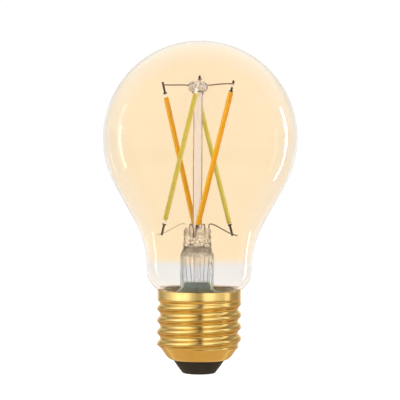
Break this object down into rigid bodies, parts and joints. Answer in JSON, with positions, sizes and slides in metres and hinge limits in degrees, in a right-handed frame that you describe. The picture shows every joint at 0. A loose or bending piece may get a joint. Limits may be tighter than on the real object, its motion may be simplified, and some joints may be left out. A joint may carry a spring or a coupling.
{
  "type": "smart filament light bulb",
  "caption": "Pear-shaped amber-tinted glass bulb with a clear neck, a twisted cage of warm and cool LED filaments on a glass stem, and a brass screw cap.",
  "frame": {"origin": "centre of the centre contact's bottom face, at the lowest point of the bulb", "axes": "+Z along the bulb's axis from the screw cap to the crown of the glass, +X to the right and -Y to the front as the filaments are seen in the main view"},
  "size_m": [0.0602, 0.0602, 0.1025],
  "materials": {
    "clear_glass": "gloss",
    "amber_tint": "gloss",
    "stem_glass": "gloss",
    "nickel_wire": "satin",
    "copper_wire": "satin",
    "tinned_wire": "satin",
    "cool_phosphor": "matte",
    "warm_phosphor": "matte",
    "white_ceramic": "matte",
    "led_chip": "gloss",
    "tab_metal": "satin",
    "cap_brass": "gloss",
    "black_glass": "gloss",
    "contact_metal": "satin",
    "solder": "satin",
    "cement": "matte",
    "sleeve": "satin",
    "circuit_board": "satin",
    "aerial_copper": "satin",
    "black_package": "matte",
    "crystal_can": "satin",
    "capacitor_sleeve": "gloss",
    "film_box": "satin",
    "ferrite": "matte",
    "copper_winding": "gloss",
    "resistor_body": "satin",
    "ceramic_chip": "matte"
  },
  "bodies": {
    "root": {"glass_envelope": "clear_glass", "amber_coating": "amber_tint", "stem_flare": "stem_glass", "exhaust_tube": "stem_glass", "stem_post": "stem_glass", "stem_button": "stem_glass", "support_wire_left": "nickel_wire", "support_wire_front": "nickel_wire", "support_wire_right": "nickel_wire", "support_wire_rear": "nickel_wire", "lead_wire_left": "nickel_wire", "lead_wire_front": "nickel_wire", "lead_wire_right": "nickel_wire", "lead_wire_rear": "nickel_wire", "seal_wires": "copper_wire", "outer_leads": "copper_wire", "cool_left_phosphor": "cool_phosphor", "warm_front_phosphor": "warm_phosphor", "cool_right_phosphor": "cool_phosphor", "warm_rear_phosphor": "warm_phosphor", "cool_left_substrate": "white_ceramic", "warm_front_substrate": "white_ceramic", "cool_right_substrate": "white_ceramic", "warm_rear_substrate": "white_ceramic", "cool_left_chips": "led_chip", "warm_front_chips": "led_chip", "cool_right_chips": "led_chip", "warm_rear_chips": "led_chip", "cool_left_tabs": "tab_metal", "warm_front_tabs": "tab_metal", "cool_right_tabs": "tab_metal", "warm_rear_tabs": "tab_metal", "cap_shell": "cap_brass", "cap_insulator": "black_glass", "centre_contact": "contact_metal", "centre_solder": "solder", "neutral_solder": "solder", "basing_cement": "cement", "insulating_sleeve": "sleeve", "driver_board": "circuit_board", "wireless_board": "circuit_board", "antenna_trace": "aerial_copper", "wireless_chip": "black_package", "crystal": "crystal_can", "driver_chip": "black_package", "dimmer_transistors": "black_package", "bridge_rectifier": "black_package", "bulk_capacitor": "capacitor_sleeve", "bulk_capacitor_leads": "tinned_wire", "film_capacitor": "film_box", "inductor_core": "ferrite", "inductor_winding": "copper_winding", "fusible_resistor": "resistor_body", "chip_resistors": "black_package", "chip_capacitors": "ceramic_chip", "live_wire": "tinned_wire", "neutral_wire": "tinned_wire", "solder_joints": "solder"}
  },
  "joints": []
}
